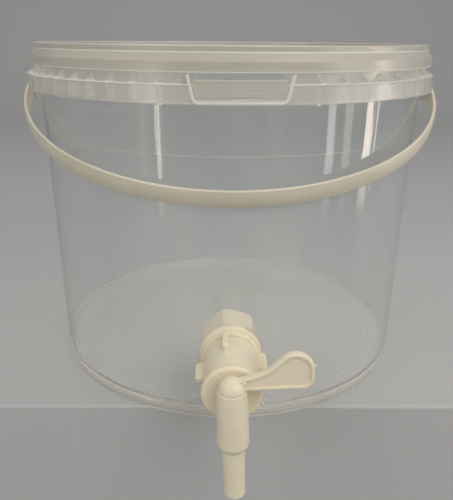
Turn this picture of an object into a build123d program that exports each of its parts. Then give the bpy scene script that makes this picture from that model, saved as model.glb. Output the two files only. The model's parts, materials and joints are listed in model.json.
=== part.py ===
from build123d import *
import os
from math import acos, atan2, cos, degrees, hypot, radians, sin, tan

# Clear plastic bucket with a snap lid, a tear tab, a strap handle and a lever tap.
# Millimetres, +Z up. The origin is the centre of the foot ring on the floor.
# The tap points along -Y, and the handle turns about an axis along X.

# Bucket wall and base
wall_top_r = 132.6      # outside of the wall at the collar's lower edge
wall_taper = 2.35       # how much smaller that radius is just above the foot ring
wall_t = 1.4            # wall thickness
foot_set = 0.45         # outside of the foot ring, on the floor, inside the wall above it
foot_t = 1.8            # foot ring's wall
foot_h = 4.0            # floor to the underside of the base panel
base_t = 1.6            # base panel
corner_r = 5.0          # inner corner between wall and base
step_down = 27.5        # collar's lower edge to the faint nesting step
step_out = 0.25         # how far the wall steps out there
rim_round = 0.5         # rounded edges of the foot, collar and rim

# Collar, neck and rim bead
collar_out = 7.4        # outside of the collar's skirt beyond the wall
collar_z = 195.5        # lower edge of the skirt
collar_h = 10.1         # lower edge to the top of the ledge
collar_t = 1.4          # skirt and ledge thickness
neck_h = 16.7           # ledge to the top of the rim
neck_out = 0.3          # neck beyond the wall below it
bead_out = 3.0          # rim bead beyond the neck
bead_up = 7.0           # ledge to the bead's lower edge
bead_flank = 2.6        # upright part of the bead
bead_slope = 4.0        # height of the bead's sloping top

# Gusset webs round the collar
web_angle = 6.0         # degrees from web to web
web_t = 1.2             # web thickness
web_rise = 4.4          # web height above the ledge, at the neck
web_set = 1.5           # collar's lower edge to the web
end_web_t = 2.2         # the two webs beside the tear tab
web_free = 18.0         # degrees each side of the tab to those webs
ear_free = 9.0          # degrees each side of an ear with no web

# Ears that carry the handle
ear_drop = 10.5         # how far an ear hangs below the collar
ear_top_w = 52.0        # width where it leaves the collar
ear_low_w = 22.0        # width at its lower edge
ear_round = 8.0         # rounding of its lower corners
pivot_drop = 0.5        # handle axis below the collar's lower edge

# Tear tab and the window that it sits in
tab_turn = 1.4          # degrees from the tap's plane to the tab
window_top_w = 56.0     # outside of the bead round the window, at the top
window_low_w = 49.0     # and at the bottom
window_round = 4.5      # its lower corners
frame_w = 1.8           # width of that bead
frame_out = 0.8         # bead beyond the collar's face
frame_round = 0.6       # rounded outer edges of that bead
frame_clear = 0.4       # top of the bead to the lid's edge
window_depth = 4.6      # how far the window cuts in from the collar's face
tab_t = 1.2             # tab thickness
tab_sink = 0.8          # tab's face behind the collar's face
tab_hinge_gap = 0.25    # tab to the window's sill
tab_side_gap = 0.7      # tab to the window's sides
tab_h = 10.2            # tab height
tab_round = 1.6         # its upper corners
tab_ribs = 5            # grip ribs across the tab
rib_w = 0.7             # rib width
rib_out = 0.4           # rib height
rib_first = 2.6         # tab's lower edge to the first rib
rib_end = 2.2           # end of a rib to the side of the tab

# Lid
lid_t = 1.4             # lid wall
lid_gap = 0.5           # lid skirt to rim bead, and lid ring to neck
lid_seat = 0.25         # rim to the roof of the lid's channel
lid_skirt_up = 5.3      # ledge to the lower edge of the lid's skirt
lid_skirt_h = 5.6       # upright part of the skirt
lid_shoulder_h = 4.2    # sloping part above it
plug_gap = 0.3          # lid's plug wall to the inside of the neck
lid_recess = 10.0       # top of the lid's ring to its panel
lid_round = 0.8         # rounded edges of the ring
stack_in = 16.0         # foot ring's inside to the ring on the panel that locates a stacked bucket
stack_w = 2.0           # width of that ring
stack_h = 1.5           # and its height

# Strap handle
strap_w = 10.5          # strap width
strap_t = 2.5           # strap thickness at its middle
strap_crown = 0.7       # how much the outer face is crowned
strap_gap = 2.6         # collar to the inside of the strap
strap_rest_gap = 0.35   # strap to the wall where it lies at rest
strap_edge = 0.4        # rounding of the strap's edges
arm_span = 60.0         # degrees of the half-round strap in each arm, with the bow between them
eye_r = 6.2             # disc at each end of the strap
eye_gap = 0.4           # disc to ear
pin_r = 3.0             # pin through the ear
pin_clear = 0.06        # pin to hole, on the radius
pin_head_r = 4.2        # head that keeps the pin in the ear
pin_head_t = 1.2        # thickness of that head
pin_head_gap = 0.4      # head to ear

# Tap: rear moulding
tap_z = 49.15           # height of the tap's axis
tap_lean = 2.0          # degrees that the tap is screwed on past upright
thread_r = 10.45        # outside of the thread
thread_past = 4.0       # how far the thread comes through the nut
thread_lead = 1.2       # chamfer at the thread's end
hole_clear = 0.3        # thread to the hole in the wall
ring_out = 2.9          # flange that presses on the outer washer, beyond the barrel
ring_t = 3.8            # thickness of that flange
step_ring_out = 1.6     # second, smaller ring beyond the barrel
step_ring_t = 4.9       # and its thickness
barrel_r = 15.7         # round barrel
barrel_len = 16.2       # lugged part of the barrel
lug_turn = 8.5          # degrees from the lever's line to the first lug
lug_count = 4           # lugs round the barrel
lug_out = 5.1           # lugs beyond the barrel
lug_w = 3.5             # width of a lug
lug_round = 2.4         # rounded outer corners of a lug
lug_edge = 0.8          # rounded edges of its sides
bore_r = 8.0            # waterway through the thread
spigot_r = 11.5         # head's spigot in the barrel
spigot_len = 19.5       # how far it goes in
joint_clear = 0.05      # spigot to barrel, nut to thread, washer to thread
tap_round = 0.6         # rounded edges of rings, spigot and socket

# Tap: front moulding
head_len = 13.1         # barrel-wide part of the head
disc_out = 1.1          # disc at the front, beyond the barrel
disc_t = 5.4            # disc thickness
disc_round = 2.2        # rounded front edge
socket_out = 8.2        # disc's face to the plug's axis
socket_wall = 2.14      # wall of the upright socket above its rounded lower end
socket_neck_wall = 1.84  # and at its neck
socket_rim_wall = 1.34  # and at its rim
socket_neck_h = 6.0     # neck to rim
socket_up = 8.65        # tap's axis to the socket's rim
socket_down = 27.05     # tap's axis to the socket's lower end
socket_round = 1.6      # rounding of its lower end
socket_lip = 0.55       # wall at the very bottom of the socket
port_r = 3.9            # waterway across the plug

# Tap: lever, plug and hose tail
plug_r = 6.4            # plug in the socket
plug_clear = 0.06       # plug to socket, on the radius
dome_in = 0.5           # domed top inside the socket's rim
dome_gap = 0.2          # dome to the socket's rim
tail_r = 6.3            # hose tail at the socket
tail_tip_r = 5.9        # straight end of the tail
tail_tip_len = 8.65     # length of that end
tail_down = 57.9        # tap's axis to the end of the tail, which hangs lower than the foot ring
tail_lead = 0.65        # rounding at the end
outlet_r = 3.7          # waterway through the tail
lever_reach = 42.3      # plug's axis to the lever's tip
lever_rise = 0.65       # how far the lower edge climbs to the tip
lever_root_h = 5.35     # height of the lever at the plug's axis
lever_paddle = 24.6     # tip to the bend in the upper edge
lever_waist_h = 10.5    # height of the lever at that bend
lever_angle = 43.5      # degrees that the upper edge climbs from there
lever_low_round = 6.0   # lower corner of the tip
lever_top_round = 9.7   # rounded top of the paddle
lever_waist_round = 20.0  # bend in the upper edge
lever_t = 4.35          # lever thickness over its rim
lever_rim = 1.95        # rim round the lever's face
lever_sink = 1.0        # depth of the face inside the rim
lever_edge = 0.8        # rounded outer edges of the lever
lever_rim_edge = 0.4    # rounded inner edge of the rim

# Sealing washers and nut
outer_washer_in = 1.6   # edge of the flange to the washer's
outer_washer_t = 1.5    # its thickness on the tap's axis line
inner_washer_in = 1.0   # flat of the nut to the washer's edge
inner_washer_t = 2.4    # its thickness on the tap's axis line
nut_across = 32.0       # across the flats
nut_t = 21.4            # nut along the tap's axis
nut_lead = 3.4          # chamfer on the nut's inner corners
nut_turn = 43.0         # degrees from the lever's line to a corner of the nut

# Heights and radii that follow from the sizes above
heel_r = wall_top_r - wall_taper
foot_r = heel_r - foot_set
stack_r = foot_r - foot_t - stack_in
collar_r = wall_top_r + collar_out
step_z = collar_z - step_down
ledge_z = collar_z + collar_h
rim_z = ledge_z + neck_h
neck_r = wall_top_r + neck_out
neck_in_r = neck_r - wall_t
bead_r = neck_r + bead_out
skirt_in_r = collar_r - collar_t
lid_edge_z = ledge_z + lid_skirt_up
lid_skirt_r = bead_r + lid_gap + lid_t
lid_ring_r = neck_r + lid_gap + lid_t
lid_top_z = rim_z + lid_seat + lid_t
pivot_z = collar_z - pivot_drop
strap_in_r = collar_r + strap_gap
strap_out_r = strap_in_r + strap_t
tab_face_r = collar_r - tab_sink
sill_z = collar_z + frame_w
tab_low_z = sill_z + tab_hinge_gap


def wall_outer(z):
    """Outside radius of the tapered wall at height z, without the nesting step."""
    share = (z - foot_h) / (collar_z - foot_h)
    return heel_r + share * (wall_top_r - step_out - heel_r)


# Stations along the tap's axis, measured from the bucket's axis
wall_s = wall_outer(tap_z)
ring_s = wall_s + outer_washer_t
step_ring_s = ring_s + ring_t
barrel_s = step_ring_s + step_ring_t
head_s = barrel_s + barrel_len
disc_s = head_s + head_len
face_s = disc_s + disc_t
plug_s = face_s + socket_out
nut_front_s = wall_s - wall_t - inner_washer_t
nut_end_s = nut_front_s - nut_t
thread_end_s = nut_end_s - thread_past

ring_r = barrel_r + ring_out
step_ring_r = barrel_r + step_ring_out
lug_r = barrel_r + lug_out
disc_r = barrel_r + disc_out
socket_bore_r = plug_r + plug_clear
socket_rim_r = socket_bore_r + socket_rim_wall
dome_r = socket_rim_r - dome_in
socket_rim_z = tap_z + socket_up
socket_low_z = tap_z - socket_down
tail_end_z = tap_z - tail_down

# Places on the assembled object
lean = radians(tap_lean)
tap_axis = Plane(origin=(0, 0, tap_z), x_dir=(cos(lean), 0, sin(lean)), z_dir=(0, -1, 0))
plug_place = Pos(0, -plug_s, tap_z) * Rot(Y=-tap_lean) * Pos(0, 0, -tap_z)
tab_place = Rot(Z=tab_turn)
MERGE = 0.4             # how deep a rib or web runs into the wall that it grows from
PAST = 20.0             # how far a cutting tool runs past the wall that it cuts


def outline(*corners):
    """Closed face from (x, y, corner radius) triples."""
    points = [(x, y) for x, y, _ in corners]
    return make_face(FilletPolyline(*points, radius=[r for _, _, r in corners], close=True))


def turned(*corners):
    """Solid of revolution about Z from (radius, height, corner radius) triples."""
    return revolve(Plane.XZ * outline(*corners), Axis.Z)


def tube(outer, inner, low, high):
    """Upright ring between two radii and two heights."""
    return turned((inner, low, 0), (outer, low, 0), (outer, high, 0), (inner, high, 0))


def rod(radius, low, high):
    """Upright cylinder between two heights."""
    return Pos(0, 0, low) * Cylinder(radius, high - low, align=(Align.CENTER, Align.CENTER, Align.MIN))


def hexagon(across, low, high, lead):
    """Upright hexagonal prism with its corners chamfered at the lower end."""
    prism = extrude(Pos(0, 0, low) * RegularPolygon(across / 2, 6, major_radius=False), high - low)
    corner = across / 3 ** 0.5
    lead_cone = turned((0, low, 0), (corner - lead, low, 0), (corner, low + lead, 0),
                       (corner, high, 0), (0, high, 0))
    return prism & lead_cone


def front_prism(face):
    """Face drawn in X and Z, carried forward through the front of the collar."""
    return extrude(Plane.XZ * face, collar_r + PAST)


def window_face(inset, low, high, top_round=0):
    """Tapered window with rounded lower corners, inset from the outside of its bead."""
    flare = (window_top_w - window_low_w) / 2 / (lid_edge_z - collar_z)
    low_half = window_low_w / 2 - inset + flare * (low - collar_z)
    high_half = window_low_w / 2 - inset + flare * (high - collar_z)
    corner = max(window_round - inset, frame_w / 2)
    return outline((-low_half, low, corner), (low_half, low, corner),
                   (high_half, high, top_round), (-high_half, high, top_round))


def bucket_wall():
    """Base, wall, collar and rim in one turned profile, with the base raised inside the foot."""
    base_z = foot_h + base_t
    step_r = wall_outer(step_z)
    roof_z = ledge_z - collar_t
    bead_low_z = ledge_z + bead_up
    bead_high_z = bead_low_z + bead_flank
    return turned(
        (0, foot_h, 0), (foot_r - foot_t, foot_h, 0), (foot_r - foot_t, 0, 0),
        (foot_r, 0, rim_round), (heel_r, foot_h, 0), (step_r, step_z, 0), (step_r + step_out, step_z, 0),
        (wall_top_r, collar_z, 0), (neck_r, roof_z, 0), (skirt_in_r, roof_z, 0), (skirt_in_r, collar_z, 0),
        (collar_r, collar_z, rim_round), (collar_r, ledge_z, rim_round), (neck_r, ledge_z, 0),
        (neck_r, bead_low_z - bead_out / 2, 0), (bead_r, bead_low_z, 0),
        (bead_r, bead_high_z, 0), (neck_r, bead_high_z + bead_slope, 0),
        (neck_r, rim_z, rim_round), (neck_in_r, rim_z, rim_round), (neck_in_r, ledge_z, 0),
        (wall_top_r - wall_t, collar_z, 0), (heel_r - wall_t, base_z, corner_r), (0, base_z, 0))


def collar_web(thickness):
    """One gusset on the +X side: a plate under the ledge, with a sloping fin above it."""
    root = wall_top_r - MERGE
    tip = skirt_in_r + MERGE
    low = collar_z + web_set
    edge = collar_r - rim_round - MERGE
    face = outline((root, low, 0), (tip, low, 0), (tip, ledge_z - MERGE, 0), (edge, ledge_z - MERGE, 0),
                   (edge, ledge_z, 0), (neck_r, ledge_z + web_rise, 0), (root, ledge_z + web_rise, 0))
    return extrude(Plane.XZ * face, thickness / 2, both=True)


def collar_webs():
    """Webs all round the collar, but for the tear tab's stretch and the two ears."""
    webs = []
    for index in range(round(360 / web_angle)):
        from_tab = index * web_angle
        beside_tab = min(from_tab, 360 - from_tab)
        heading = from_tab + tab_turn - 90
        from_ear = abs((heading + 90) % 180 - 90)
        if beside_tab < web_free or from_ear < ear_free:
            continue
        thickness = end_web_t if beside_tab < web_free + web_angle / 2 else web_t
        webs.append(Rot(Z=heading) * collar_web(thickness))
    return webs


def ears():
    """Aprons that hang from the collar at +X and -X, each with the hole for a handle pin."""
    low = collar_z - ear_drop
    top = collar_z + collar_t
    face = outline((-ear_low_w / 2, low, ear_round), (ear_low_w / 2, low, ear_round),
                   (ear_top_w / 2, top, 0), (-ear_top_w / 2, top, 0))
    aprons = extrude(Plane.YZ * face, collar_r + PAST, both=True)
    return aprons & tube(collar_r, skirt_in_r, low, top)


def ear_holes():
    """Cross hole through both ears, kept clear of the wall."""
    hole = Pos(0, 0, pivot_z) * Rot(Y=90) * Cylinder(pin_r + pin_clear, 2 * (collar_r + PAST))
    return hole & tube(collar_r + PAST, (wall_top_r + skirt_in_r) / 2, collar_z - ear_drop, ledge_z)


def window_frame():
    """Bead round the tear tab's window, open at the top."""
    high = lid_edge_z - frame_clear
    bead = front_prism(window_face(0, collar_z, high))
    bead -= front_prism(window_face(frame_w, sill_z, high + frame_w))
    bead = bead & tube(collar_r + frame_out, skirt_in_r, collar_z, high)
    crown = bead.faces().sort_by_distance((0, -collar_r - PAST, collar_z))[0]
    return tab_place * fillet(crown.edges().filter_by(GeomType.BSPLINE), frame_round)


def window_cut():
    """Opening in the skirt and the ledge behind the tear tab, below the rim bead."""
    high = ledge_z + frame_w
    opening = front_prism(window_face(frame_w, sill_z, high))
    return tab_place * (opening & tube(collar_r + PAST, collar_r - window_depth, sill_z, high))


def bucket_shell():
    """Whole bucket moulding, drilled for the tap."""
    shell = bucket_wall() + ears() + collar_webs()
    shell = shell - window_cut() + window_frame() - ear_holes()
    return shell - tap_axis * rod(thread_r + hole_clear, wall_s - wall_t - PAST, wall_s + PAST / 2)


def lid():
    """Snap lid: skirt, shoulder, ring, plug wall and sunk panel in one turned profile."""
    plug_r_out = neck_in_r - plug_gap
    plug_r_in = plug_r_out - lid_t
    skirt_top = lid_edge_z + lid_skirt_h
    shoulder_top = skirt_top + lid_shoulder_h
    panel_z = lid_top_z - lid_recess
    roof_z = rim_z + lid_seat
    body = turned(
        (0, panel_z - lid_t, 0), (plug_r_out, panel_z - lid_t, lid_round), (plug_r_out, roof_z, 0),
        (lid_ring_r - lid_t, roof_z, 0), (lid_ring_r - lid_t, shoulder_top - lid_t / 2, 0),
        (lid_skirt_r - lid_t, skirt_top - lid_t / 2, 0), (lid_skirt_r - lid_t, lid_edge_z, 0),
        (lid_skirt_r, lid_edge_z, lid_t / 3), (lid_skirt_r, skirt_top, lid_round),
        (lid_ring_r, shoulder_top, rim_round), (lid_ring_r, lid_top_z, lid_round),
        (plug_r_in, lid_top_z, lid_round), (plug_r_in, panel_z, lid_t), (0, panel_z, 0))
    return body + tube(stack_r + stack_w / 2, stack_r - stack_w / 2, panel_z - MERGE, panel_z + stack_h)


def tamper_tab():
    """Tear tab: a curved panel with grip ribs, standing on the window's sill."""
    high = tab_low_z + tab_h
    panel = front_prism(window_face(frame_w + tab_side_gap, tab_low_z, high, tab_round))
    panel = panel & tube(tab_face_r, tab_face_r - tab_t, tab_low_z, high)
    grip = front_prism(window_face(frame_w + tab_side_gap + rib_end, tab_low_z, high))
    spacing = (tab_h - 2 * rib_first) / (tab_ribs - 1)
    for index in range(tab_ribs):
        rib_z = tab_low_z + rib_first + index * spacing
        panel += grip & tube(tab_face_r + rib_out, tab_face_r - MERGE, rib_z - rib_w / 2, rib_z + rib_w / 2)
    return tab_place * panel


def handle_tilt():
    """Degrees that the handle drops below level, so that its lower edge lies against the wall."""
    swing_r = hypot(strap_in_r, strap_w / 2)
    edge_angle = atan2(strap_w / 2, strap_in_r)
    contact_z = pivot_z
    for _ in range(6):
        reach = wall_outer(contact_z) + strap_rest_gap
        tilt = acos(reach / swing_r) - edge_angle
        contact_z = pivot_z - swing_r * sin(tilt + edge_angle)
    return degrees(tilt)


def strap(heading, span):
    """Stretch of the half-round strap in its own level, over span degrees from a heading."""
    edge_r = strap_out_r - strap_crown
    half = strap_w / 2
    section = make_face([
        Polyline((edge_r, half), (strap_in_r, half), (strap_in_r, -half), (edge_r, -half)),
        ThreePointArc((edge_r, -half), (strap_out_r, 0), (edge_r, half))])
    section = fillet(section.vertices(), strap_edge)
    return revolve(Rot(Z=heading) * (Plane.XZ * section), Axis.Z, span)


def handle_place():
    """Handle's place at rest, dropped against the front of the wall."""
    return Pos(0, 0, pivot_z) * Rot(X=handle_tilt())


def bail_handle():
    """Bow of the handle: the middle stretch of the strap, which the hand takes."""
    return handle_place() * strap(180 + arm_span, 180 - 2 * arm_span)


def handle_arms():
    """Arms of the handle, each with a disc, a pin and a pin head at its end."""
    shank_in = skirt_in_r - pin_head_gap - pin_head_t
    end = rod(eye_r, collar_r + eye_gap, strap_out_r)
    end += rod(pin_r, shank_in, strap_out_r)
    end += rod(pin_head_r, shank_in, shank_in + pin_head_t)
    left = strap(180, arm_span) + Rot(Y=-90) * end
    right = strap(-arm_span, arm_span) + Rot(Y=90) * end
    return handle_place() * Compound([left, right])


def tap_barrel():
    """Rear moulding: thread, flange, second ring and the lugged barrel, in line with the tap's axis."""
    body = turned((0, thread_end_s, 0), (thread_r - thread_lead, thread_end_s, 0),
                  (thread_r, thread_end_s + thread_lead, 0), (thread_r, ring_s, 0),
                  (ring_r, ring_s, tap_round), (ring_r, step_ring_s, tap_round),
                  (step_ring_r, step_ring_s, 0), (step_ring_r, barrel_s, tap_round), (barrel_r, barrel_s, 0),
                  (barrel_r, head_s, 0), (0, head_s, 0))
    lug = outline((barrel_r - MERGE, barrel_s - MERGE, 0), (lug_r, barrel_s - MERGE, lug_round),
                  (lug_r, head_s, lug_round), (barrel_r - MERGE, head_s, 0))
    lug = extrude(Plane.XZ * lug, lug_w / 2, both=True)
    lug = fillet(lug.edges().filter_by(lambda edge: edge.center().X > barrel_r and abs(edge.center().Y) > 0),
                 lug_edge)
    for index in range(lug_count):
        body += Rot(Z=lug_turn + index * 360 / lug_count) * lug
    body -= rod(bore_r, thread_end_s - PAST, head_s)
    body -= rod(spigot_r + joint_clear, head_s - spigot_len - joint_clear, head_s + PAST)
    return tap_axis * body


def tap_head():
    """Front moulding: spigot, barrel, disc and the upright socket for the plug."""
    spigot_s = head_s - spigot_len
    head = turned((0, spigot_s, 0), (spigot_r, spigot_s, tap_round), (spigot_r, head_s, 0),
                  (barrel_r, head_s, 0), (barrel_r, disc_s, 0), (disc_r, disc_s + disc_t / 2, tap_round),
                  (disc_r, face_s, disc_round), (0, face_s, 0))
    socket = turned((0, socket_low_z, 0), (socket_bore_r + socket_lip, socket_low_z, 0),
                    (socket_bore_r + socket_wall, socket_low_z + 2 * socket_round, socket_round),
                    (socket_bore_r + socket_neck_wall, socket_rim_z - socket_neck_h, 0),
                    (socket_rim_r, socket_rim_z, tap_round), (0, socket_rim_z, 0))
    head = tap_axis * head + plug_place * socket
    head -= plug_place * rod(socket_bore_r, socket_low_z - PAST, socket_rim_z + PAST)
    waterway = rod(bore_r, spigot_s - PAST, disc_s) + rod(port_r, disc_s - MERGE, plug_s)
    return head - tap_axis * waterway


def lever_face(inset):
    """Lever outline in X and Z about the plug's axis at rim height, inset all round from its edge."""
    lever_waist = lever_reach - lever_paddle
    lever_peak = lever_waist_h + lever_paddle * tan(radians(lever_angle))
    edge = outline((0, 0, 0), (lever_reach, lever_rise, lever_low_round),
                   (lever_reach, lever_peak, lever_top_round),
                   (lever_waist, lever_waist_h, lever_waist_round), (0, lever_root_h, 0))
    return offset(edge, -inset) if inset else edge


def lever():
    """Lever about the plug's axis: a plate with rounded edges and a sunk face inside a rim on both sides."""
    plate = extrude(Plane.XZ * lever_face(0), lever_t / 2, both=True)
    plate = fillet([edge for face in plate.faces().filter_by(Axis.Y) for edge in face.edges()], lever_edge)
    for side in (-1, 1):
        floor = Plane.XZ.offset(side * (lever_t / 2 - lever_sink))
        plate -= extrude(floor * lever_face(lever_rim), side * lever_t)
        rim = plate.faces().filter_by(Axis.Y).sort_by(Axis.Y)[0 if side > 0 else -1]
        plate = fillet(rim.inner_wires()[0].edges(), lever_rim_edge)
    return plate


def lever_plug():
    """Lever, domed plug and hose tail in one moulding, with the waterway through it."""
    seat_z = socket_rim_z + dome_gap
    body = turned((0, tail_end_z, 0), (tail_tip_r, tail_end_z, tail_lead),
                  (tail_tip_r, tail_end_z + tail_tip_len, 0), (tail_r, socket_low_z, 0),
                  (plug_r, socket_low_z, 0), (plug_r, seat_z, 0), (0, seat_z, 0))
    dome = Pos(0, 0, seat_z) * Sphere(dome_r) & rod(dome_r, seat_z, seat_z + dome_r)
    body += dome + Pos(0, 0, seat_z) * lever()
    body -= rod(outlet_r, tail_end_z - PAST, tap_z + port_r)
    body -= Pos(0, 0, tap_z) * Rot(Y=-90) * rod(port_r, 0, plug_r + PAST)
    return plug_place * body


def washer(radius, low, high):
    """Flat ring round the thread."""
    return tap_axis * tube(radius, thread_r + joint_clear, low, high)


def outer_washer():
    """Soft seal from the flange to the outside of the curved wall."""
    wall = turned((0, 0, 0), (heel_r, 0, 0), (heel_r, foot_h, 0),
                  (wall_outer(step_z), step_z, 0), (0, step_z, 0))
    return washer(ring_r - outer_washer_in, wall_s - wall_t, ring_s) - wall


def inner_washer():
    """Soft seal from the nut to the inside of the curved wall."""
    inside = turned((0, 0, 0), (heel_r - wall_t, 0, 0), (heel_r - wall_t, foot_h, 0),
                    (wall_outer(step_z) - wall_t, step_z, 0), (0, step_z, 0))
    return washer(nut_across / 2 - inner_washer_in, nut_front_s, wall_s) & inside


def back_nut():
    """Long hexagon nut on the thread inside the bucket."""
    nut = Rot(Z=nut_turn) * hexagon(nut_across, nut_end_s, nut_front_s, nut_lead)
    return tap_axis * (nut - rod(thread_r + joint_clear, nut_end_s - PAST, nut_front_s + PAST))


os.makedirs("parts", exist_ok=True)
pieces = (bucket_shell, lid, tamper_tab, bail_handle, handle_arms, tap_barrel, tap_head, lever_plug,
          outer_washer, inner_washer, back_nut)
for piece in pieces:
    export_step(piece(), f"parts/{piece.__name__}.step")
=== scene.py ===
"""Clear bucket with a lever tap: finishes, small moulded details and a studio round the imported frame."""
import json
import math

import bmesh
import bpy
from bpy.props import FloatProperty, FloatVectorProperty, IntProperty, PointerProperty
from mathutils import Euler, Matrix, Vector, noise


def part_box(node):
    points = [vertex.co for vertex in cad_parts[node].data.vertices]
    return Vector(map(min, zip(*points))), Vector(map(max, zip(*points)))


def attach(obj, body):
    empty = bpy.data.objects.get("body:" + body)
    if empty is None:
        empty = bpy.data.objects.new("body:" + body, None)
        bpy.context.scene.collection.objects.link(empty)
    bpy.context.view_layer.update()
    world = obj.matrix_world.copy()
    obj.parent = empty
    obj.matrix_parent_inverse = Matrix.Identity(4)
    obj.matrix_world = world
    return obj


bl_info = {
    "name": "Bucket with tap",
    "version": (1, 0, 0),
    "blender": (4, 5, 0),
    "location": "3D View > Sidebar > Bucket",
    "description": "Dresses the packed bucket, lid, handle and tap, and sets up a plain studio",
    "category": "Object",
}

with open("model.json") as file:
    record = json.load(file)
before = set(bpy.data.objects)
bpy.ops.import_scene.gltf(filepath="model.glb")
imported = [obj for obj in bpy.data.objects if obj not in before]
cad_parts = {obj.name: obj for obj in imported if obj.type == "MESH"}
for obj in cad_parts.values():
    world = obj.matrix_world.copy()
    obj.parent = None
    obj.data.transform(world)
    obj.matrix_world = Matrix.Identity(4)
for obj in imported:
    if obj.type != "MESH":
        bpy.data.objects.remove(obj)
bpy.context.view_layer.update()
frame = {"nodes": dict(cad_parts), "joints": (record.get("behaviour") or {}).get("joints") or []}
NODES = frame["nodes"]
JOINTS = {joint["name"]: joint for joint in frame["joints"]}

# Where the plug's axis crosses the tap's axis, from the lever's own joint.
TAP_POINT = Vector(JOINTS["lever_turn"]["pos_m"])

# Border over which one finish runs into the next, in metres.
BLEND = 0.001
# How far the window's bead stands out of the collar where its painted highlight starts, and where it is
# full.
BEAD_RISE = (0.0001, 0.0004)
# Foot heights between which the foot's haze and painted light end, and between which the wall's ripples
# begin.
FOOT_END = (0.6, 1.0)
RIPPLE_START = (1.2, 4.0)
# Share of a painted highlight line's half width that has its full strength.
LINE_CORE = 0.3
# The base ring's and the nesting step's painted highlight lines: widths in shares of an edge's, the base
# line's strength in shares of the ring's.
BASE_LINE_WIDTH = 2.5
BASE_LINE_PAINTED_LIGHT = 2.0
STEP_WIDTH = 0.6
# Values between which nearly all of a noise lies.
NOISE_RANGE = (0.3, 0.7)
# How far a face looks round the axis where it starts to count as a web or an end, and where it does.
SIDE_RANGE = (0.6, 0.9)
# Haze that starts to tint the plastic with milk and haze that does so fully, and the same for pale marks,
# which are dust and painted highlights.
HAZE_RANGE = (0.05, 0.5)
MARK_RANGE = (0.1, 0.6)
# Refraction of polypropylene, for the bucket, lid and handle, and of polyethylene, for the tap.
POLYPROPYLENE_IOR = 1.49
POLYETHYLENE_IOR = 1.51

# Facets round a gate ring or one turn of the thread, round a gate ring's section, and in the thread's ends.
TURN_FACETS = 48
SECTION_FACETS = 8
FADE_FACETS = 8
# The thread's ridge: its foot sunk in shares of its height, its height at the faded ends and what it gains,
# half its foot in shares of the pitch, and its crest in shares of its foot.
RIDGE_SUNK = 0.5
RIDGE_ENDS = 0.05
RIDGE_GAIN = 1.2
RIDGE_FOOT = 0.42
RIDGE_CREST = 0.2

# Rings that the gates left: radius, width and height, and the place of the one on the base.
BASE_GATE = (0.0024, 0.0007, 0.00025)
LID_GATE = (0.006, 0.0012, 0.0004)
BASE_GATE_PLACE = (-0.0382, -0.0636, 0.0056)
# Lumps that the mould left: place, half sizes along X, Y and Z, and the seed of the unevenness.
LUMPS = {
    "web_foot_left": ((-0.03783, -0.13425, 0.1954), (0.0011, 0.0008, 0.0011), 3.0),
    "web_foot_right": ((0.0436, -0.1325, 0.1954), (0.0011, 0.0008, 0.0011), 3.0),
    "socket_gate": ((0.0010, -0.1921, 0.0461), (0.0007, 0.0003, 0.0006), 4.0),
    "disc_flash": ((0.0167, -0.1730, 0.0427), (0.0007, 0.0012, 0.0006), 1.0),
    "lever_bead": ((0.0060, -0.18595, 0.0630), (0.0011, 0.0006, 0.0009), 6.0),
    "lever_flash": ((0.0416, -0.18385, 0.0725), (0.0008, 0.0009, 0.0006), 2.0),
}
LUMP_SPLITS = 3
LUMP_SWELL = 0.22
LUMP_WAVES = 1.6
# Tear bridges on each side of the tab, with their half sizes and the seed of the first.
SIDE_BRIDGES = 3
BRIDGE_HALVES = (0.00075, 0.0005, 0.0004)
BRIDGE_SEED = 5.0
# Ribs of the tear tab, with the width and strength of the highlight lines painted along them in shares of an
# edge's and the tab's haze.
TAB_RIBS = 5
RIB_WIDTH = 0.6
RIB_PAINTED_LIGHT = 1.2
# Width of the highlight line painted along the lid's lower rim, in shares of an edge's.
LID_RIM_WIDTH = 2.0

# Softboxes: place, target, width, height, watts, colour, and the kinds of ray that don't see them.
MIDDLE = (0.0, -0.03, 0.11)
WHITE = (1.0, 1.0, 1.0)
WARM_WHITE = (1.0, 0.985, 0.96)
OUT_OF_SHOT = ("camera",)
NO_REFLECTION = ("camera", "glossy", "transmission")
SOFTBOXES = {
    "key_box": ((0.62, -1.10, 1.10), MIDDLE, 0.9, 0.9, 8.5, WARM_WHITE, OUT_OF_SHOT),
    "fill_box": ((-1.00, -0.95, 0.95), MIDDLE, 0.9, 0.9, 6.0, WARM_WHITE, OUT_OF_SHOT),
    "side_box": ((1.05, -0.30, 0.55), MIDDLE, 0.5, 0.6, 2.5, WARM_WHITE, NO_REFLECTION),
    "top_box": ((0.0, 0.25, 1.6), MIDDLE, 1.3, 1.0, 2.0, WHITE, OUT_OF_SHOT),
    "back_box": ((0.0, 1.0, 2.3), (0.0, 2.0, 0.2), 3.0, 0.8, 5.0, WHITE, OUT_OF_SHOT),
}
# Upright strips that show as streaks in the plastic: degrees right of the tap, width, top, radiance, colour.
STREAKS = {
    "streak_left": (-36.5, 0.030, 0.20, 9.0, (1.0, 0.90, 0.74)),
    "streak_right": (51.6, 0.045, 0.70, 5.0, (1.0, 0.94, 0.93)),
    "streak_right_soft": (62.0, 0.050, 0.40, 2.6, (1.0, 0.94, 0.78)),
    "streak_far_right": (76.5, 0.050, 0.40, 9.5, (1.0, 0.87, 0.76)),
    "streak_far_right_thin": (82.5, 0.012, 0.40, 8.0, (1.0, 0.97, 0.94)),
}
ONLY_REFLECTION = ("camera", "diffuse", "transmission", "volume_scatter")
# The strips' distance from the bucket's axis, their lower end, and the height of their full light.
STREAK_AWAY = 0.62
STREAK_LOW = -0.06
STREAK_FULL = 0.085

# Short flat run beside each curve of the floor, which keeps its smooth shading to the curve, in metres.
FLAT_RUN = 0.004
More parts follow.
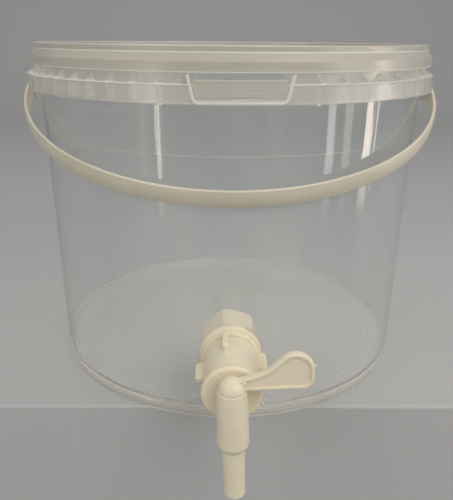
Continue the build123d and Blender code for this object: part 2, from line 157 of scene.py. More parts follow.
# The camera's turn about X, Y and Z, its sensor in millimetres and its nearest distance in metres.
CAMERA_DEGREES = (69.39685, -0.43471, -0.47236)
SENSOR_WIDTH = 36.0
NEAREST = 0.01


def color_prop(label, text, default):
    """Colour property with a picker."""
    return FloatVectorProperty(name=label, description=text, subtype="COLOR", size=3,
                               min=0.0, max=1.0, default=default)


def share_prop(label, text, default):
    """Property for a share from nothing to all."""
    return FloatProperty(name=label, description=text, subtype="FACTOR", min=0.0, max=1.0, default=default)


def length_prop(label, text, default):
    """Length property in metres."""
    return FloatProperty(name=label, description=text, unit="LENGTH", subtype="DISTANCE",
                         precision=5, default=default)


class ClearPlastic(bpy.types.PropertyGroup):
    """Hazy clear plastic of the bucket, the lid and the tear tab."""

    tint: color_prop("Tint", "Colour of light that has gone through the plastic", (0.88, 0.89, 0.895))
    milk: color_prop("Milk", "Colour of the light that the plastic scatters", (0.62, 0.585, 0.50))
    # Edge is a pale colour painted on beads, edges and webs as their highlights.
    edge: color_prop("Edge", "Colour of beads, edges and webs, which scatter most", (0.78, 0.765, 0.715))
    wall_light: color_prop("Wall light", "Colour of lamp light behind the wall", (0.94, 0.945, 0.945))
    lid_light: color_prop("Lid light", "Colour of lamp light behind the lid", (0.90, 0.905, 0.90))
    wall_haze: share_prop("Wall haze", "Milky share of the smooth wall", 0.07)
    collar_haze: share_prop("Collar haze", "Extra milky share of the collar and rim", 0.22)
    # The webs' sides are painted pale as their light; upper web is the share of that painted light kept
    # above the ledge.
    painted_web_light: share_prop("Web haze", "Milky share of the webs round the collar", 0.65)
    upper_web: share_prop("Upper web", "Share of the web haze that is left above the ledge", 0.25)
    # Share of the pale edge colour painted on beads and edges as their highlights.
    painted_edge_light: share_prop("Edge haze", "Milky share of beads and edges", 0.72)
    # Foot and base ring: milky plastic, partly painted light that stands in for their bright edges.
    foot_haze_and_painted_light: share_prop("Foot haze", "Milky share of the foot ring and the base's corner", 0.34)
    base_haze_and_painted_light: share_prop("Base haze", "Extra milky share of the ring round the base panel", 0.16)
    # Highlight line painted along the nesting step.
    painted_step_light: share_prop("Step haze", "Milky share of the nesting step's fine line round the wall", 0.30)
    lid_haze: share_prop("Lid haze", "Milky share of the lid", 0.42)
    tab_haze: share_prop("Tab haze", "Milky share of the tear tab", 0.40)
    wall_roughness: share_prop("Wall roughness", "Blur of reflections in the wall", 0.06)
    lid_roughness: share_prop("Lid roughness", "Blur of reflections in the lid", 0.21)
    collar_roughness: share_prop("Collar roughness", "Extra blur of reflections in the collar", 0.17)
    collar_height: length_prop("Collar height", "Height of the collar's lower edge", 0.1955)
    ledge_height: length_prop("Ledge height", "Height of the collar's upper edge", 0.2056)
    collar_radius: length_prop("Collar radius", "Outside of the collar without the window's bead", 0.1400)
    collar_depth: length_prop("Collar depth", "Outside of the collar to where its finish ends", 0.0030)
    foot_height: length_prop("Foot height", "Height up to which the foot and the corner are milky", 0.0096)
    foot_radius: length_prop("Foot radius", "Inside of the foot ring", 0.1235)
    heel_height: length_prop("Heel height", "Height of the heel's edge above the foot ring", 0.0040)
    corner_height: length_prop("Corner height", "Height of the corner between base and wall", 0.00768)
    base_ring: length_prop("Base ring", "Inside of the milky ring round the base panel", 0.1165)
    window_half: length_prop("Window half", "Half the width of the clearer neck behind the tear tab", 0.0265)
    tab_half: length_prop("Tab half", "Half the tear tab's width at the collar's lower edge", 0.0220)
    tab_flare: share_prop("Tab flare", "How much that half grows with the height", 0.2273)
    tab_gap: length_prop("Tab gap", "Tear tab to the window's sides", 0.0007)
    bridge_radius: length_prop("Bridge radius", "Bucket's axis to the middle of the tab's wall", 0.1386)
    bridge_first: length_prop("First bridge", "Lower edge of the tear tab to the first tear bridge", 0.0022)
    bridge_step: length_prop("Bridge step", "From bridge to bridge", 0.0026)
    step_height: length_prop("Step height", "Height of the nesting step", 0.1680)
    ear_height: length_prop("Ear height", "Height of the ears' lower edge", 0.1850)
    lid_shoulder: length_prop("Lid shoulder", "Top of the lid down to its sloping shoulder", 0.00325)
    lid_panel: length_prop("Lid panel", "Top of the lid down to its sunk panel", 0.010)
    # Half the width of a highlight painted along an edge.
    edge_width: length_prop("Edge width", "Half the width of a milky edge", 0.0006)
    rib_first: length_prop("First rib", "Lower edge of the tear tab to its first rib", 0.0026)
    rib_step: length_prop("Rib step", "From rib to rib of the tear tab", 0.00125)
    speck_size: length_prop("Speck size", "Radius of the largest dust speck in the plastic", 0.0005)


class TapPlastic(bpy.types.PropertyGroup):
    """Opaque plastics of the handle, the tap, the nut and the washers."""

    handle: color_prop("Handle", "Cream-white plastic of the strap handle", (0.67, 0.617, 0.485))
    tap: color_prop("Tap", "Ivory plastic of the tap and nut", (0.82, 0.738, 0.56))
    tap_shade: color_prop("Tap shade", "Darker blotches in the tap's plastic", (0.77, 0.68, 0.505))
    rubber: color_prop("Washers", "Soft white rubber of the washers", (0.66, 0.655, 0.62))
    rubber_bloom: color_prop("Washer bloom", "Greyer bloom on the washers", (0.58, 0.575, 0.54))
    handle_roughness: share_prop("Handle roughness", "Blur of reflections in the handle", 0.36)
    tap_roughness: share_prop("Tap roughness", "Blur of reflections in the tap", 0.35)
    thread_radius: length_prop("Thread radius", "Outside of the tap's thread", 0.01045)
    thread_pitch: length_prop("Thread pitch", "Distance from turn to turn of the tap's thread", 0.001814)
    thread_height: length_prop("Thread height", "Height of a turn of the thread", 0.0004)
    thread_lead: length_prop("Thread lead", "Plain chamfered end of the thread", 0.0012)


class Studio(bpy.types.PropertyGroup):
    """Camera, floor and lights."""

    camera_place: FloatVectorProperty(name="Camera place", description="Where the photograph was taken from",
                                      subtype="TRANSLATION", unit="LENGTH", size=3,
                                      default=(-0.0063836, -0.430267, 0.227424))
    camera_turn: FloatVectorProperty(name="Camera turn", description="How the camera was held",
                                     subtype="EULER", unit="ROTATION", size=3,
                                     default=[math.radians(a) for a in CAMERA_DEGREES])
    lens: FloatProperty(name="Lens", description="Focal length in millimetres on a 36 mm sensor",
                        unit="CAMERA", min=10.0, max=200.0, default=40.67)
    floor: color_prop("Floor", "Pale floor and backdrop", (0.47, 0.47, 0.465))
    edge: length_prop("Floor edge", "Bucket's axis to the edge where the floor drops for the tap", 0.118)
    edge_round: length_prop("Edge rounding", "Rounding of the floor's front edge", 0.002)
    drop: length_prop("Floor drop", "How far the floor drops in front", 0.30)
    floor_depth: length_prop("Floor depth", "Flat part of the floor behind the bucket", 1.2)
    floor_width: length_prop("Floor width", "Half the width of the floor", 4.0)
    cove_radius: length_prop("Cove radius", "Curve from the floor up to the backdrop", 0.9)
    cove_steps: IntProperty(name="Cove steps", description="Facets in each curve of the floor",
                            min=4, max=64, default=16)
    backdrop: length_prop("Backdrop", "Height of the backdrop above the cove", 1.5)
    sky: share_prop("Sky", "Even light from all round", 0.38)
    far_wall: share_prop("Far wall", "Grey that shows past the ends of the floor", 0.27)


def opaque(color, share=1.0):
    """A share of a colour's light, with a full alpha."""
    return (*(share * c for c in color), 1.0)


class Finish:
    """One procedural material built round a Principled shader, in the row frame's coordinates."""

    def __init__(self, name):
        self.material = bpy.data.materials.new(name)
        self.material.use_nodes = True
        self.tree = self.material.node_tree
        self.shader = self.tree.nodes["Principled BSDF"]
        self.output = self.tree.nodes["Material Output"]
        self.place = self.add("ShaderNodeTexCoord").outputs["Object"]

    def add(self, kind, **settings):
        """New node with some of its settings."""
        node = self.tree.nodes.new(kind)
        for key, value in settings.items():
            setattr(node, key, value)
        return node

    def wire(self, source, target):
        """Sets a socket from another socket or from a plain value."""
        if isinstance(source, bpy.types.NodeSocket):
            self.tree.links.new(source, target)
        else:
            target.default_value = source

    def math(self, kind, first, second=0.0):
        """Arithmetic on two values."""
        node = self.add("ShaderNodeMath", operation=kind)
        self.wire(first, node.inputs[0])
        self.wire(second, node.inputs[1])
        return node.outputs[0]

    def times(self, first, *rest):
        """Product of several values."""
        for value in rest:
            first = self.math("MULTIPLY", first, value)
        return first

    def plus(self, first, *rest):
        """Sum of several values."""
        for value in rest:
            first = self.math("ADD", first, value)
        return first

    def most(self, first, *rest):
        """Largest of several values."""
        for value in rest:
            first = self.math("MAXIMUM", first, value)
        return first

    def left_by(self, share):
        """What a share leaves of one."""
        return self.math("SUBTRACT", 1.0, share)

    def span(self, source, from_low, from_high, to_low, to_high):
        """Straight change from one range of values to another, held at its ends."""
        node = self.add("ShaderNodeMapRange")
        for index, value in enumerate((source, from_low, from_high, to_low, to_high)):
            self.wire(value, node.inputs[index])
        return node.outputs[0]

    def vary(self, noise_value, middle, low, high):
        """Value that follows a noise, from low to high times a middle value."""
        return self.span(noise_value, *NOISE_RANGE, low * middle, high * middle)

    def line(self, value, center, half, strength):
        """Strength at a value's center, falling to nothing at half on both sides of it."""
        away = self.math("ABSOLUTE", self.math("SUBTRACT", value, center))
        return self.span(away, LINE_CORE * half, half, strength, 0.0)

    def split(self, vector):
        """The three values of a vector."""
        node = self.add("ShaderNodeSeparateXYZ")
        self.wire(vector, node.inputs[0])
        return node.outputs

    def cloud(self, waves, detail=2.0, roughness=0.5):
        """Noise with so many waves to the metre along X, Y and Z, or the same along all three."""
        stretch = self.add("ShaderNodeMapping")
        self.wire(self.place, stretch.inputs["Vector"])
        stretch.inputs["Scale"].default_value = (waves,) * 3 if isinstance(waves, float) else waves
        node = self.add("ShaderNodeTexNoise")
        self.wire(stretch.outputs[0], node.inputs["Vector"])
        node.inputs["Scale"].default_value = 1.0
        node.inputs["Detail"].default_value = detail
        node.inputs["Roughness"].default_value = roughness
        return node.outputs["Fac"]

    def across(self, x, y):
        """Distance from the bucket's axis."""
        return self.math("SQRT", self.plus(self.times(x, x), self.times(y, y)))

    def sideways(self, x, y, strength):
        """Strength on faces that look round the axis, such as webs and ends, and nothing on turned walls."""
        facing = self.split(self.add("ShaderNodeNewGeometry").outputs["True Normal"])
        turn = self.math("SUBTRACT", self.times(facing[1], x), self.times(facing[0], y))
        share = self.math("ABSOLUTE", self.math("DIVIDE", turn, self.across(x, y)))
        return self.span(share, *SIDE_RANGE, 0.0, strength)

    def specks(self, per_metre, radius, share):
        """One where a dust speck lies: random dots of up to radius metres in a share of the cells."""
        node = self.add("ShaderNodeTexVoronoi")
        self.wire(self.place, node.inputs["Vector"])
        node.inputs["Scale"].default_value = per_metre
        pick = self.add("ShaderNodeSeparateColor")
        self.wire(node.outputs["Color"], pick.inputs[0])
        size = self.span(pick.outputs[0], 1.0 - share, 1.0, 0.0, radius * per_metre)
        return self.math("LESS_THAN", node.outputs["Distance"], size)

    def mix(self, share, first, second):
        """Colour between two colours, whose sockets stand behind those for numbers and vectors."""
        node = self.add("ShaderNodeMix", data_type="RGBA")
        self.wire(share, node.inputs[0])
        self.wire(first, node.inputs[6])
        self.wire(second, node.inputs[7])
        return node.outputs[2]

    def milky(self, look, haze, marks):
        """Colour of the clear plastic: its tint, warmer where it is hazy, and paler along dust and the
        highlights painted on edges.
        """
        body = self.mix(self.span(haze, *HAZE_RANGE, 0.0, 1.0), opaque(look.tint), opaque(look.milk))
        return self.mix(self.span(marks, *MARK_RANGE, 0.0, 1.0), body, opaque(look.edge))

    def bump(self, height, depth, under=None):
        """Relief of depth metres from a height value, over another relief."""
        node = self.add("ShaderNodeBump")
        self.wire(height, node.inputs["Height"])
        node.inputs["Strength"].default_value = 1.0
        node.inputs["Distance"].default_value = depth
        if under is not None:
            self.wire(under, node.inputs["Normal"])
        return node.outputs[0]

    def set(self, **sockets):
        """Sets the shader's sockets by name, with underscores for spaces."""
        for key, value in sockets.items():
            self.wire(value, self.shader.inputs[key.replace("_", " ")])

    def let_light_in(self, tint):
        """Lets the lamps shine through the plastic instead of casting a solid shadow."""
        path = self.add("ShaderNodeLightPath")
        clear = self.add("ShaderNodeBsdfTransparent")
        clear.inputs["Color"].default_value = opaque(tint)
        both = self.add("ShaderNodeMixShader")
        self.wire(path.outputs["Is Shadow Ray"], both.inputs[0])
        self.wire(self.shader.outputs[0], both.inputs[1])
        self.wire(clear.outputs[0], both.inputs[2])
        self.wire(both.outputs[0], self.output.inputs["Surface"])


def wall_plastic(name, look):
    """Glossy clear polypropylene: upright flow ripples and specks, highlights painted pale on webs, beads
    and edges, and a milky foot that is partly painted light.
    """
    finish = Finish(name)
    x, y, z = finish.split(finish.place)
    radius = finish.across(x, y)

    def edge(height, width=1.0, strength=1.0):
        """Pale line painted round the bucket at a height as an edge's highlight, in shares of an edge's
        width and strength.
        """
        return finish.line(z, height, width * look.edge_width, strength * look.painted_edge_light)

    # Where the collar, the neck behind the tear tab and the foot are.
    inner = look.collar_radius - look.collar_depth
    outer = finish.span(radius, inner, inner + BLEND, 0.0, 1.0)
    above = finish.most(finish.span(z, look.collar_height - BLEND, look.collar_height, 0.0, 1.0), outer)
    in_window = finish.math("LESS_THAN", finish.math("ABSOLUTE", x), look.window_half)
    neck = finish.times(finish.math("LESS_THAN", y, 0.0), finish.left_by(outer), in_window)
    low_down = finish.span(z, *(share * look.foot_height for share in FOOT_END), 1.0, 0.0)

    # Pale marks: dust, and highlights painted on the webs, the window's bead, the edges and the nesting
    # step.
    below_ledge = finish.span(z, look.ledge_height, look.ledge_height + BLEND, 1.0, look.upper_web)
    # Webs' sides painted pale as their light.
    web = finish.times(above, below_ledge, finish.sideways(x, y, look.painted_web_light))
    bead_rise = (look.collar_radius + rise for rise in BEAD_RISE)
    bead = finish.times(above, finish.span(radius, *bead_rise, 0.0, look.painted_edge_light))
    skirt_edge = edge(look.collar_height)
    ledge_edge = finish.times(outer, edge(look.ledge_height, width=1.5))
    ear_edge = finish.times(outer, edge(look.ear_height))
    foot_edge = edge(0.0)
    heel_edge = edge(look.heel_height, strength=0.8)
    corner_edge = edge(look.corner_height, strength=0.7)
    base_line = finish.line(radius, look.base_ring, BASE_LINE_WIDTH * look.edge_width,
                            BASE_LINE_PAINTED_LIGHT * look.base_haze_and_painted_light)
    base_edge = finish.times(low_down, base_line)
    step = finish.line(z, look.step_height, STEP_WIDTH * look.edge_width, look.painted_step_light)
    dust = finish.specks(per_metre=70.0, radius=look.speck_size, share=0.16)
    marks = finish.most(bead, skirt_edge, ledge_edge, ear_edge, foot_edge, heel_edge, base_edge, corner_edge,
                        step, dust, web)

    # Haze of the wall and the collar, haze and painted light of the ring round the base panel and the foot,
    # with the marks.
    flow = finish.cloud((70.0, 70.0, 4.0), detail=3.0, roughness=0.6)
    broad = finish.cloud((22.0, 22.0, 7.0))
    fine = finish.cloud((240.0, 240.0, 40.0))
    collar = finish.times(above, finish.left_by(neck), look.collar_haze)
    base_ring = finish.times(low_down, finish.span(radius, look.base_ring, look.base_ring + BLEND,
                                                   0.0, look.base_haze_and_painted_light))
    foot = finish.times(low_down, finish.span(radius, look.foot_radius, look.foot_radius + 2 * BLEND,
                                              0.0, look.foot_haze_and_painted_light))
    haze = finish.plus(finish.vary(broad, look.wall_haze, low=0.6, high=1.4), collar, base_ring)
    haze = finish.most(haze, foot, marks)

    # Ripples on the upright wall only.
    upright = finish.span(z, *(share * look.foot_height for share in RIPPLE_START), 0.0, 1.0)
    relief = finish.bump(finish.times(upright, flow), depth=0.00012)
    relief = finish.bump(finish.times(upright, fine), depth=0.000007, under=relief)
    blur = finish.vary(flow, look.wall_roughness, low=0.7, high=1.4)
    finish.set(Base_Color=finish.milky(look, haze, marks), Transmission_Weight=finish.left_by(haze),
               Roughness=finish.plus(blur, finish.times(above, look.collar_roughness)),
               Normal=relief, IOR=POLYPROPYLENE_IOR)
    finish.let_light_in(look.wall_light)
    return finish.material


def lid_plastic(name, look, haze_share, edges):
    """Milkier clear polypropylene with a fine grain and pale highlights painted along its edges and ends;
    edges hold a height, half a width and a strength.
    """
    finish = Finish(name)
    x, y, z = finish.split(finish.place)
    cloud = finish.cloud(30.0, detail=3.0)
    grain = finish.cloud(900.0)
    dust = finish.times(finish.specks(per_metre=90.0, radius=look.speck_size, share=0.12), look.lid_haze)
    # Faces that look round the axis are painted pale as highlights; the dust is real.
    ends = finish.sideways(x, y, look.painted_edge_light)
    marks = finish.most(dust, ends, *(finish.line(z, *edge) for edge in edges))
    haze = finish.most(finish.vary(cloud, haze_share, low=0.85, high=1.15), marks)
    finish.set(Base_Color=finish.milky(look, haze, marks), Transmission_Weight=finish.left_by(haze),
               Roughness=finish.vary(cloud, look.lid_roughness, low=0.8, high=1.25),
               Normal=finish.bump(grain, depth=0.00003), IOR=POLYPROPYLENE_IOR)
    finish.let_light_in(look.lid_light)
    return finish.material


def cream_plastic(name, look):
    """Satin cream polypropylene with faint cloudy flow marks."""
    finish = Finish(name)
    cloud = finish.cloud((26.0, 26.0, 60.0), detail=3.0)
    grain = finish.cloud(1500.0)
    flow = finish.cloud((60.0, 60.0, 420.0))
    cloudy = finish.span(cloud, from_low=0.35, from_high=0.7, to_low=0.0, to_high=0.8)
    finish.set(Base_Color=finish.mix(cloudy, opaque(look.handle), opaque(look.handle, share=0.9)),
               Roughness=finish.vary(flow, look.handle_roughness, low=0.9, high=1.15),
               Normal=finish.bump(grain, depth=0.00001, under=finish.bump(flow, depth=0.00006)),
               IOR=POLYPROPYLENE_IOR)
    return finish.material


def ivory_plastic(name, look):
    """Waxy ivory polyethylene: soft blotches, a moulded grain and light that goes a little way in."""
    finish = Finish(name)
    cloud = finish.cloud(60.0, detail=4.0, roughness=0.6)
    ripple = finish.cloud(150.0, detail=1.0)
    grain = finish.cloud(2200.0)
    blotches = finish.span(cloud, from_low=0.35, from_high=0.75, to_low=0.0, to_high=1.0)
    finish.set(Base_Color=finish.mix(blotches, opaque(look.tap), opaque(look.tap_shade)),
               Roughness=finish.vary(ripple, look.tap_roughness, low=0.85, high=1.2),
               Normal=finish.bump(grain, depth=0.000005, under=finish.bump(ripple, depth=0.00004)),
               Subsurface_Weight=0.25, Subsurface_Radius=(1.0, 0.7, 0.4), Subsurface_Scale=0.002,
               IOR=POLYETHYLENE_IOR)
    return finish.material


def washer_rubber(name, look):
    """Dull white rubber with a fine bloom."""
    finish = Finish(name)
    bloom = finish.cloud(500.0, detail=4.0, roughness=0.7)
    bloomed = finish.span(bloom, from_low=0.45, from_high=0.8, to_low=0.0, to_high=0.5)
    finish.set(Base_Color=finish.mix(bloomed, opaque(look.rubber), opaque(look.rubber_bloom)),
               Roughness=finish.span(bloom, *NOISE_RANGE, to_low=0.6, to_high=0.8),
               Normal=finish.bump(bloom, depth=0.00005))
    return finish.material


def floor_paint(name, studio):
    """Matt pale paint with the faintest unevenness."""
    finish = Finish(name)
    cloud = finish.cloud(3.0, detail=3.0)
    finish.set(Base_Color=finish.mix(cloud, opaque(studio.floor), opaque(studio.floor, share=0.96)),
               Roughness=0.75)
    return finish.material


def made_material(name, maker, *values):
    """Material by name, made the first time that it is asked for."""
    return bpy.data.materials.get(name) or maker(name, *values)


def wear(material, *names):
    """Gives CAD nodes a finish."""
    for name in names:
        mesh = NODES[name].data
        mesh.materials.clear()
        mesh.materials.append(material)


def new_piece(name, form, material, body, smooth=True):
    """New mesh piece from points and faces in the row frame, which rides on a body."""
    points, faces = form
    mesh = bpy.data.meshes.new(name)
    mesh.from_pydata(points, [], faces)
    mesh.validate()
    skin = bmesh.new()
    skin.from_mesh(mesh)
    bmesh.ops.recalc_face_normals(skin, faces=skin.faces)
    skin.to_mesh(mesh)
    skin.free()
    mesh.polygons.foreach_set("use_smooth", [smooth] * len(mesh.polygons))
    mesh.materials.append(material)
    piece = bpy.data.objects.new(name, mesh)
    bpy.context.scene.collection.objects.link(piece)
    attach(piece, body)
    return piece


def swept(rings, closed):
    """Points and faces of a tube through rings of points, closed on itself or capped at both ends."""
    count = len(rings[0])
    points = [p for ring in rings for p in ring]
    faces = []
    for r in range(len(rings) if closed else len(rings) - 1):
        here = r * count
        there = (r + 1) % len(rings) * count
        for k in range(count):
            after = (k + 1) % count
            faces.append((here + k, here + after, there + after, there + k))
    if not closed:
        faces += [tuple(reversed(range(count))), tuple(range(len(points) - count, len(points)))]
    return points, faces


def thread_turns(look):
    """Helical ridge on the end of the tap's thread that comes through the nut."""
    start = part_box("back_nut")[1].y
    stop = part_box("tap_barrel")[1].y - look.thread_lead
    count = int(TURN_FACETS * (stop - start) / look.thread_pitch)
    low = look.thread_radius - RIDGE_SUNK * look.thread_height
    foot = Vector((0.0, RIDGE_FOOT * look.thread_pitch, 0.0))
    crest = RIDGE_CREST * foot
    rings = []
    for k in range(count + 1):
        angle = 2 * math.pi * k / TURN_FACETS
        fade = min(1.0, k / FADE_FACETS, (count - k) / FADE_FACETS)
        high = low + (RIDGE_ENDS + RIDGE_GAIN * fade) * look.thread_height
        middle = Vector((TAP_POINT.x, start + look.thread_pitch * k / TURN_FACETS, TAP_POINT.z))
        out = Vector((math.cos(angle), 0.0, math.sin(angle)))
        rings.append([middle + out * low - foot, middle + out * high - crest,
                      middle + out * high + crest, middle + out * low + foot])
    return swept(rings, False)


def lump(center, halves, seed):
    """Small uneven blob with three half sizes along X, Y and Z."""
    ball = bmesh.new()
    bmesh.ops.create_icosphere(ball, subdivisions=LUMP_SPLITS, radius=1.0)
    faces = [tuple(v.index for v in f.verts) for f in ball.faces]
    shift = Vector((seed, 0.0, 0.0))
    points = []
    for vert in ball.verts:
        swell = 1.0 + LUMP_SWELL * noise.noise(vert.co * LUMP_WAVES + shift)
        out = Vector([c * half for c, half in zip(vert.co, halves)])
        points.append(Vector(center) + out * swell)
    ball.free()
    return points, faces


def ring_mark(center, radius, width, height):
    """Low rounded ring that lies on a level face."""
    rings = []
    for k in range(TURN_FACETS):
        angle = 2 * math.pi * k / TURN_FACETS
        out = Vector((math.cos(angle), math.sin(angle), 0.0))
        ring = []
        for n in range(SECTION_FACETS):
            turn = 2 * math.pi * n / SECTION_FACETS
            rise = Vector((0.0, 0.0, height * math.sin(turn)))
            ring.append(Vector(center) + out * (radius + width / 2 * math.cos(turn)) + rise)
        rings.append(ring)
    return swept(rings, True)


def tab_side(look, sign, height):
    """Middle of the gap between the tear tab and one side of its window, at a height."""
    along = Vector(JOINTS["tab_fold"]["axis"])
    out = Vector(JOINTS["tab_fold"]["pos_m"])
    out.z = 0.0
    reach = look.tab_half + look.tab_flare * (height - look.collar_height) + look.tab_gap / 2
    depth = math.sqrt(look.bridge_radius ** 2 - reach ** 2)
    return sign * reach * along + depth * out.normalized() + Vector((0.0, 0.0, height))


class BUCKET_OT_dress_shell(bpy.types.Operator):
    """Finish the bucket's clear moulding and add its small moulding marks"""

    bl_idname = "bucket.dress_shell"
    bl_label = "Dress the bucket"

    def execute(self, context):
        clear = made_material("wall_plastic", wall_plastic, context.scene.clear_plastic)
        wear(clear, "bucket_shell")
        gate = ring_mark(BASE_GATE_PLACE, *BASE_GATE)
        new_piece("base_gate_ring", gate, clear, "bucket")
        for name in ("web_foot_left", "web_foot_right"):
            new_piece(name, lump(*LUMPS[name]), clear, "bucket")
        return {"FINISHED"}


class BUCKET_OT_dress_lid(bpy.types.Operator):
    """Finish the lid and add the gate mark at the middle of its panel"""

    bl_idname = "bucket.dress_lid"
    bl_label = "Dress the lid"

    def execute(self, context):
        look = context.scene.clear_plastic
        low, high = (corner.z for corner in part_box("lid"))
        # Highlight lines painted along the lid's lower rim, its shoulder and its top.
        edges = [(low, LID_RIM_WIDTH * look.edge_width, look.painted_edge_light)]
        edges += [(height, look.edge_width, look.painted_edge_light) for height in (high - look.lid_shoulder, high)]
        clear = made_material("lid_plastic", lid_plastic, look, look.lid_haze, edges)
        wear(clear, "lid")
        gate = ring_mark((0.0, 0.0, high - look.lid_panel), *LID_GATE)
        new_piece("lid_gate_ring", gate, clear, "lid")
        return {"FINISHED"}


class BUCKET_OT_dress_tab(bpy.types.Operator):
    """Finish the tear tab and add the thin bridges that hold it in its window"""

    bl_idname = "bucket.dress_tab"
    bl_label = "Dress the tear tab"

    def execute(self, context):
        look = context.scene.clear_plastic
        low, high = (corner.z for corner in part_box("tamper_tab"))
        # Highlight lines painted along the ribs and along the tab's lower and upper edges.
        ribs = [low + look.rib_first + k * look.rib_step for k in range(TAB_RIBS)]
        edges = [(rib, RIB_WIDTH * look.edge_width, RIB_PAINTED_LIGHT * look.tab_haze) for rib in ribs]
        edges += [(height, look.edge_width, look.painted_edge_light) for height in (low, high)]
        clear = made_material("tab_plastic", lid_plastic, look, look.tab_haze, edges)
        wear(clear, "tamper_tab")
        for side, sign in (("left", -1), ("right", 1)):
            for k in range(SIDE_BRIDGES):
                place = tab_side(look, sign, low + look.bridge_first + k * look.bridge_step)
                bridge = lump(place, BRIDGE_HALVES, BRIDGE_SEED + k)
                new_piece(f"tear_bridge_{side}_{k + 1}", bridge, clear, "tab")
        return {"FINISHED"}


class BUCKET_OT_dress_handle(bpy.types.Operator):
    """Finish the strap handle"""

    bl_idname = "bucket.dress_handle"
    bl_label = "Dress the handle"

    def execute(self, context):
        cream = made_material("cream_plastic", cream_plastic, context.scene.tap_plastic)
        wear(cream, "bail_handle", "handle_arms")
        return {"FINISHED"}


class BUCKET_OT_dress_tap(bpy.types.Operator):
    """Finish the tap's fixed mouldings and nut, and add its thread and the marks that the mould left"""

    bl_idname = "bucket.dress_tap"
    bl_label = "Dress the tap"

    def execute(self, context):
        look = context.scene.tap_plastic
        ivory = made_material("ivory_plastic", ivory_plastic, look)
        wear(ivory, "tap_barrel", "tap_head", "back_nut")
        new_piece("tap_thread", thread_turns(look), ivory, "bucket", smooth=False)
        for name in ("socket_gate", "disc_flash"):
            new_piece(name, lump(*LUMPS[name]), ivory, "bucket")
        return {"FINISHED"}


class BUCKET_OT_dress_lever(bpy.types.Operator):
    """Finish the lever with its plug and hose tail, and add the marks that the mould left"""

    bl_idname = "bucket.dress_lever"
    bl_label = "Dress the lever"

    def execute(self, context):
        ivory = made_material("ivory_plastic", ivory_plastic, context.scene.tap_plastic)
        wear(ivory, "lever_plug")
        for name in ("lever_bead", "lever_flash"):
            new_piece(name, lump(*LUMPS[name]), ivory, "lever")
        return {"FINISHED"}


class BUCKET_OT_dress_seals(bpy.types.Operator):
    """Finish the two washers"""

    bl_idname = "bucket.dress_seals"
    bl_label = "Dress the washers"

    def execute(self, context):
        rubber = made_material("washer_rubber", washer_rubber, context.scene.tap_plastic)
        wear(rubber, "outer_washer", "inner_washer")
        return {"FINISHED"}


def floor_profile(studio):
    """Points of the floor from the drop in front, over its rounded edge and back up the curved backdrop."""
    edge = -studio.edge
    rounding = studio.edge_round
    back = studio.floor_depth
    cove = studio.cove_radius
    points = [(-studio.floor_width, -studio.drop), (edge - FLAT_RUN, -studio.drop), (edge, -studio.drop),
              (edge, -studio.drop + FLAT_RUN), (edge, -rounding - FLAT_RUN)]
    turns = [math.radians(90) * k / studio.cove_steps for k in range(studio.cove_steps + 1)]
    points += [(edge + rounding * (1 - math.cos(a)), rounding * (math.sin(a) - 1)) for a in turns]
    points += [(edge + rounding + FLAT_RUN, 0.0), (back - FLAT_RUN, 0.0)]
    points += [(back + cove * math.sin(a), cove * (1 - math.cos(a))) for a in turns]
    return points + [(back + cove, cove + FLAT_RUN), (back + cove, cove + studio.backdrop)]


def floor_mesh(studio):
    """Floor and backdrop in one sheet, drawn out to both sides."""
    profile = floor_profile(studio)
    points = [(x, y, z) for y, z in profile for x in (-studio.floor_width, studio.floor_width)]
    faces = [(2 * k, 2 * k + 1, 2 * k + 3, 2 * k + 2) for k in range(len(profile) - 1)]
    mesh = bpy.data.meshes.new("studio_floor")
    mesh.from_pydata(points, [], faces)
    mesh.polygons.foreach_set("use_smooth", [True] * len(faces))
    mesh.materials.append(made_material("floor_paint", floor_paint, studio))
    return mesh


def soft_light(name, place, target, width, height, power, color, hidden):
    """Rectangular softbox that faces a point and is hidden from some kinds of ray."""
    lamp = bpy.data.lights.new(name, "AREA")
    lamp.shape = "RECTANGLE"
    lamp.size = width
    lamp.size_y = height
    lamp.energy = power
    lamp.color = color
    holder = bpy.data.objects.new(name, lamp)
    bpy.context.scene.collection.objects.link(holder)
    holder.location = place
    holder.rotation_euler = (Vector(target) - Vector(place)).to_track_quat("-Z", "Y").to_euler()
    for ray in hidden:
        setattr(holder, f"visible_{ray}", False)
    return holder


def streak_light(name, heading, width, top, radiance, color):
    """Upright strip that only shows as a streak in glossy plastic, and fades towards its lower end."""
    turn = math.radians(heading)
    height = top - STREAK_LOW
    middle = (STREAK_LOW + top) / 2
    place = (STREAK_AWAY * math.sin(turn), -STREAK_AWAY * math.cos(turn), middle)
    power = radiance * math.pi * width * height
    strip = soft_light(name, place, (0.0, 0.0, middle), width, height, power, color, ONLY_REFLECTION)
    strip.data.use_nodes = True
    tree = strip.data.node_tree
    across = tree.nodes.new("ShaderNodeSeparateXYZ")
    tree.links.new(tree.nodes.new("ShaderNodeNewGeometry").outputs["Parametric"], across.inputs[0])
    fade = tree.nodes.new("ShaderNodeMapRange")
    fade.interpolation_type = "SMOOTHSTEP"
    tree.links.new(across.outputs["Y"], fade.inputs["Value"])
    fade.inputs["From Max"].default_value = (STREAK_FULL - STREAK_LOW) / height
    tree.links.new(fade.outputs[0], tree.nodes["Emission"].inputs["Strength"])


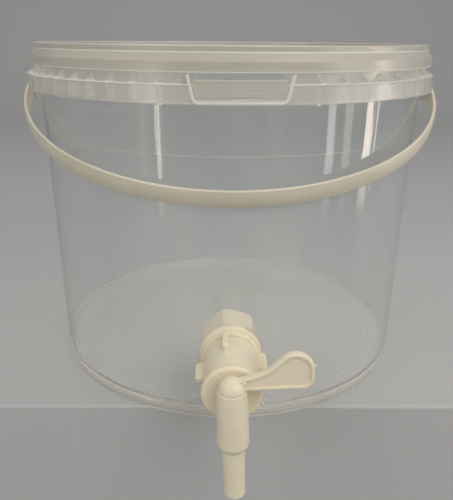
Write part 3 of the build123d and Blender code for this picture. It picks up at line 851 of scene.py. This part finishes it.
def studio_sky(studio):
    """Even light from all round, which shows as the grey of the backdrop past the ends of the floor."""
    world = bpy.data.worlds.new("studio_sky")
    world.use_nodes = True
    tree = world.node_tree
    light = tree.nodes["Background"]
    shown = tree.nodes.new("ShaderNodeBackground")
    for background, strength in ((light, studio.sky), (shown, studio.far_wall)):
        background.inputs["Color"].default_value = opaque(WHITE)
        background.inputs["Strength"].default_value = strength
    path = tree.nodes.new("ShaderNodeLightPath")
    seen = path.outputs["Is Camera Ray"]
    for ray in ("Is Glossy Ray", "Is Transmission Ray"):
        either = tree.nodes.new("ShaderNodeMath")
        either.operation = "MAXIMUM"
        tree.links.new(seen, either.inputs[0])
        tree.links.new(path.outputs[ray], either.inputs[1])
        seen = either.outputs[0]
    both = tree.nodes.new("ShaderNodeMixShader")
    tree.links.new(seen, both.inputs[0])
    tree.links.new(light.outputs[0], both.inputs[1])
    tree.links.new(shown.outputs[0], both.inputs[2])
    tree.links.new(both.outputs[0], tree.nodes["World Output"].inputs["Surface"])
    return world


def photo_camera(studio):
    """Camera at the photograph's viewing angle."""
    camera = bpy.data.cameras.new("photo_camera")
    camera.sensor_width = SENSOR_WIDTH
    camera.lens = studio.lens
    camera.clip_start = NEAREST
    holder = bpy.data.objects.new("photo_camera", camera)
    holder.location = studio.camera_place
    holder.rotation_euler = Euler(studio.camera_turn, "XYZ")
    return holder


class BUCKET_OT_set_stage(bpy.types.Operator):
    """Make the floor, the lights and the camera at the photograph's angle"""

    bl_idname = "bucket.set_stage"
    bl_label = "Set the stage"

    def execute(self, context):
        scene = context.scene
        studio = scene.bucket_studio
        floor = bpy.data.objects.new("studio_floor", floor_mesh(studio))
        scene.collection.objects.link(floor)
        scene.world = studio_sky(studio)
        for name, values in SOFTBOXES.items():
            soft_light(name, *values)
        for name, values in STREAKS.items():
            streak_light(name, *values)
        camera = photo_camera(studio)
        scene.collection.objects.link(camera)
        scene.camera = camera
        scene.view_settings.view_transform = "Standard"
        return {"FINISHED"}


STEPS = (BUCKET_OT_dress_shell, BUCKET_OT_dress_lid, BUCKET_OT_dress_tab, BUCKET_OT_dress_handle,
         BUCKET_OT_dress_tap, BUCKET_OT_dress_lever, BUCKET_OT_dress_seals, BUCKET_OT_set_stage)
GROUPS = {"clear_plastic": ClearPlastic, "tap_plastic": TapPlastic, "bucket_studio": Studio}


class BUCKET_PT_sidebar(bpy.types.Panel):
    """Lists the bucket's finishes, pieces and stage"""

    bl_idname = "BUCKET_PT_sidebar"
    bl_label = "Bucket with tap"
    bl_space_type = "VIEW_3D"
    bl_region_type = "UI"
    bl_category = "Bucket"

    def draw(self, context):
        for step in STEPS:
            self.layout.operator(step.bl_idname)
        for attribute, group in GROUPS.items():
            box = self.layout.box()
            for prop in group.__annotations__:
                box.prop(getattr(context.scene, attribute), prop)


CLASSES = (*GROUPS.values(), *STEPS, BUCKET_PT_sidebar)


def register():
    """Registers the classes and hangs the settings on the scene."""
    for cls in CLASSES:
        bpy.utils.register_class(cls)
    for attribute, group in GROUPS.items():
        setattr(bpy.types.Scene, attribute, PointerProperty(type=group))


def unregister():
    """Takes the settings and the classes away again."""
    for attribute in GROUPS:
        delattr(bpy.types.Scene, attribute)
    for cls in reversed(CLASSES):
        bpy.utils.unregister_class(cls)


def main():
    register()
    bpy.ops.bucket.dress_shell()
    bpy.ops.bucket.dress_lid()
    bpy.ops.bucket.dress_tab()
    bpy.ops.bucket.dress_handle()
    bpy.ops.bucket.dress_tap()
    bpy.ops.bucket.dress_lever()
    bpy.ops.bucket.dress_seals()
    bpy.ops.bucket.set_stage()


if __name__ == "__main__":
    main()
